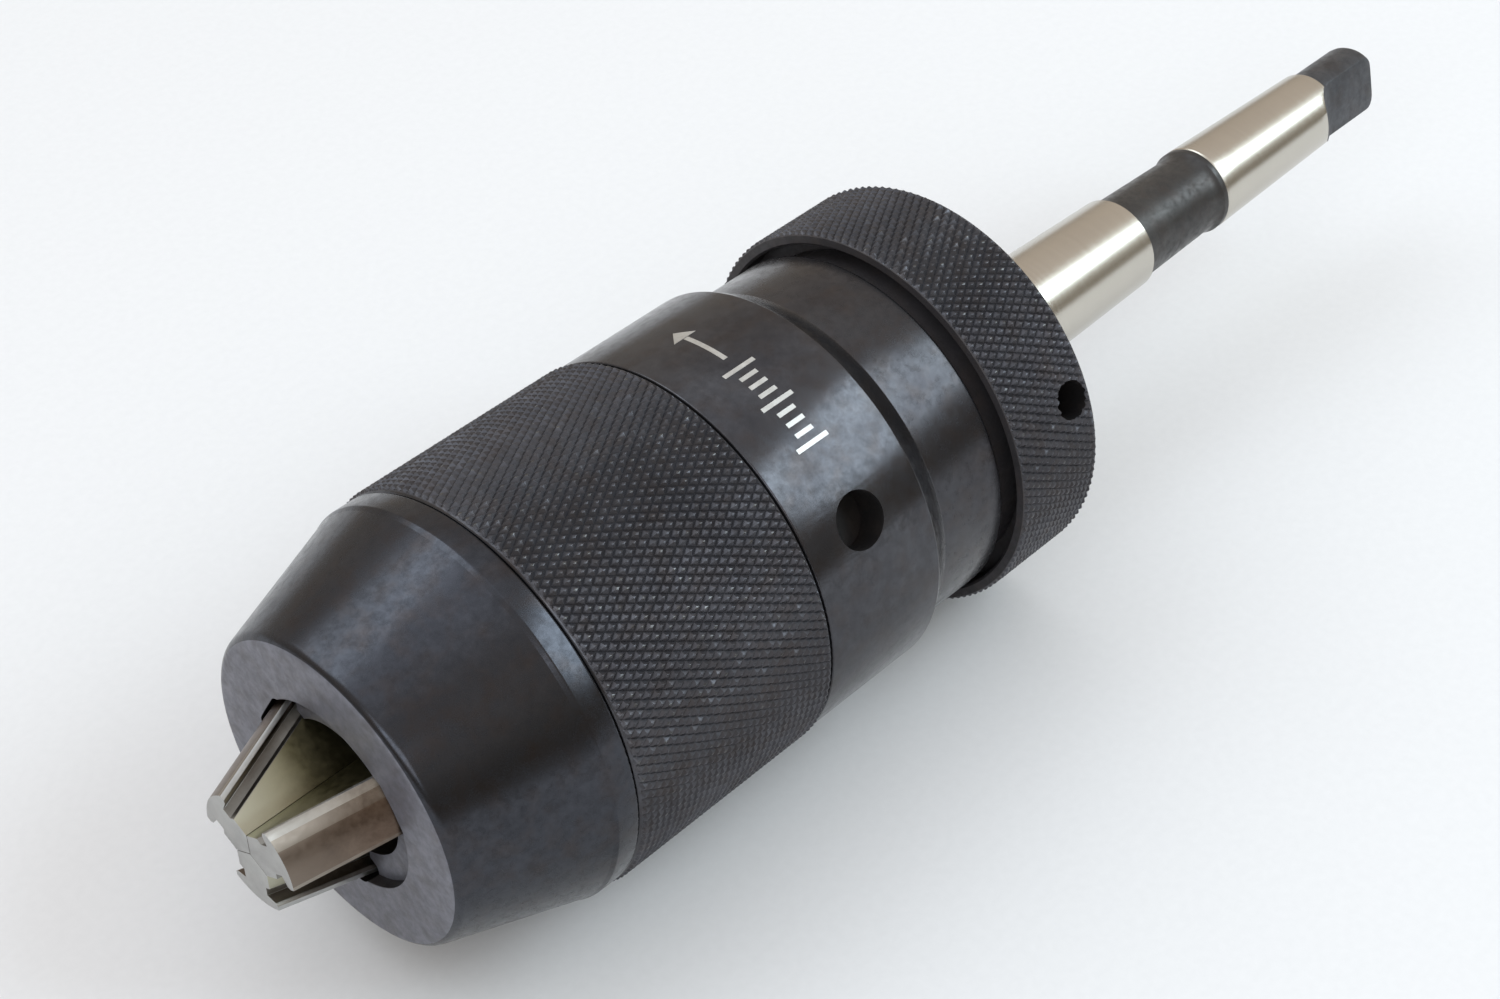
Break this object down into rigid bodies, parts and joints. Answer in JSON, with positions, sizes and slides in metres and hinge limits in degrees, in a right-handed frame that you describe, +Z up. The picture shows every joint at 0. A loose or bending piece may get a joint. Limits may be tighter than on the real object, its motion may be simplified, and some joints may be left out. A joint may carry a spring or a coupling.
{
  "type": "drill chuck",
  "caption": "Keyless drill chuck on a tanged Morse taper shank: knurled sleeve, slotted nose cone and slanting gripping jaws.",
  "frame": {"origin": "on the chuck axis, in the gauge plane of the Morse taper shank", "axes": "+X along the chuck axis from the nose to the tang, +Z up with the chuck lying on its side, one jaw straight down"},
  "size_m": [0.1762, 0.045, 0.045],
  "materials": {
    "black_steel": "black oxide, satin",
    "ground_steel": "ground",
    "jaw_steel": "hardened and ground",
    "bearing_steel": "polished",
    "bronze": "turned"
  },
  "bodies": {
    "arbor_and_body": {"arbor": "ground_steel", "chuck_body": "black_steel", "rear_ring": "black_steel", "front_race": "bearing_steel", "bearing_bush": "bronze", "thrust_washer": "bronze"},
    "sleeve": {"nose_hood": "black_steel", "grip_sleeve": "black_steel", "rear_shell": "black_steel", "rear_race": "bearing_steel"},
    "bearing": {"ball_cage": "bronze", "ball_01": "bearing_steel", "ball_02": "bearing_steel", "ball_03": "bearing_steel", "ball_04": "bearing_steel", "ball_05": "bearing_steel", "ball_06": "bearing_steel", "ball_07": "bearing_steel", "ball_08": "bearing_steel", "ball_09": "bearing_steel", "ball_10": "bearing_steel", "ball_11": "bearing_steel", "ball_12": "bearing_steel"},
    "drive_screw": {"drive_screw": "ground_steel"},
    "jaw_1": {"jaw_1": "jaw_steel"},
    "jaw_2": {"jaw_2": "jaw_steel"},
    "jaw_3": {"jaw_3": "jaw_steel"}
  },
  "joints": [
    {"name": "sleeve_turn", "type": "hinge", "parent": "arbor_and_body", "child": "sleeve", "pos_m": [-0.05, 0, 0], "axis": [-1, 0, 0], "range_deg": [0, 1788]},
    {"name": "cage_turn", "type": "hinge", "parent": "arbor_and_body", "child": "bearing", "pos_m": [-0.052, 0, 0], "axis": [-1, 0, 0], "range_deg": [0, 895]},
    {"name": "screw_feed", "type": "slide", "parent": "sleeve", "child": "drive_screw", "axis": [1, 0, 0], "range_m": [0, 0.0175]},
    {"name": "jaw_1_slide", "type": "slide", "parent": "sleeve", "child": "jaw_1", "axis": [0.9367, 0.3033, 0.1751], "range_m": [0, 0.0187]},
    {"name": "jaw_2_slide", "type": "slide", "parent": "sleeve", "child": "jaw_2", "axis": [0.9367, -0.3033, 0.1751], "range_m": [0, 0.0187]},
    {"name": "jaw_3_slide", "type": "slide", "parent": "sleeve", "child": "jaw_3", "axis": [0.9367, 0, -0.3502], "range_m": [0, 0.0187]}
  ],
  "couplings": [
    {"joint": "cage_turn", "follows": "sleeve_turn", "ratio": 0.5},
    {"joint": "screw_feed", "follows": "sleeve_turn", "m_per_rad": 0.00055704},
    {"joint": "jaw_1_slide", "follows": "sleeve_turn", "m_per_rad": 0.0005947},
    {"joint": "jaw_2_slide", "follows": "sleeve_turn", "m_per_rad": 0.0005947},
    {"joint": "jaw_3_slide", "follows": "sleeve_turn", "m_per_rad": 0.0005947}
  ]
}
